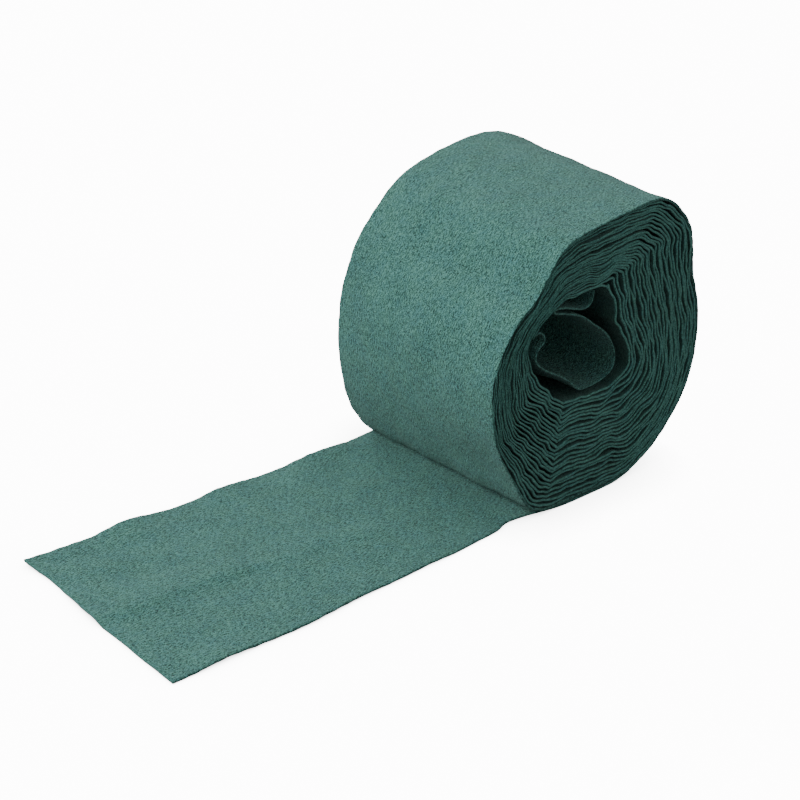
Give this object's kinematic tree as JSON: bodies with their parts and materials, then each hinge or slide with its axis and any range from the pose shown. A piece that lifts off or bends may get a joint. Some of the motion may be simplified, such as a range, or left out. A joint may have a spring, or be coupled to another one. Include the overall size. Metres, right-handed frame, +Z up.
{
  "type": "roll of tree wrap fabric",
  "caption": "Coreless roll of needle-punched felt strip for wrapping tree trunks, lobed from handling, with its outer end drawn out flat on the floor and its inner end curled loose in the hollow.",
  "frame": {"origin": "on the floor under the roll's axis, in the middle of the strip's width, on the underside of the loose end", "axes": "+Z up, +Y along the roll's axis away from the end that shows in the picture, -X along the loose end"},
  "size_m": [0.3427, 0.1217, 0.1622],
  "materials": {
    "felt": "matte, fibrous"
  },
  "bodies": {
    "root": {"wound_roll": "felt", "loose_end": "felt", "inner_end": "felt"}
  },
  "joints": []
}
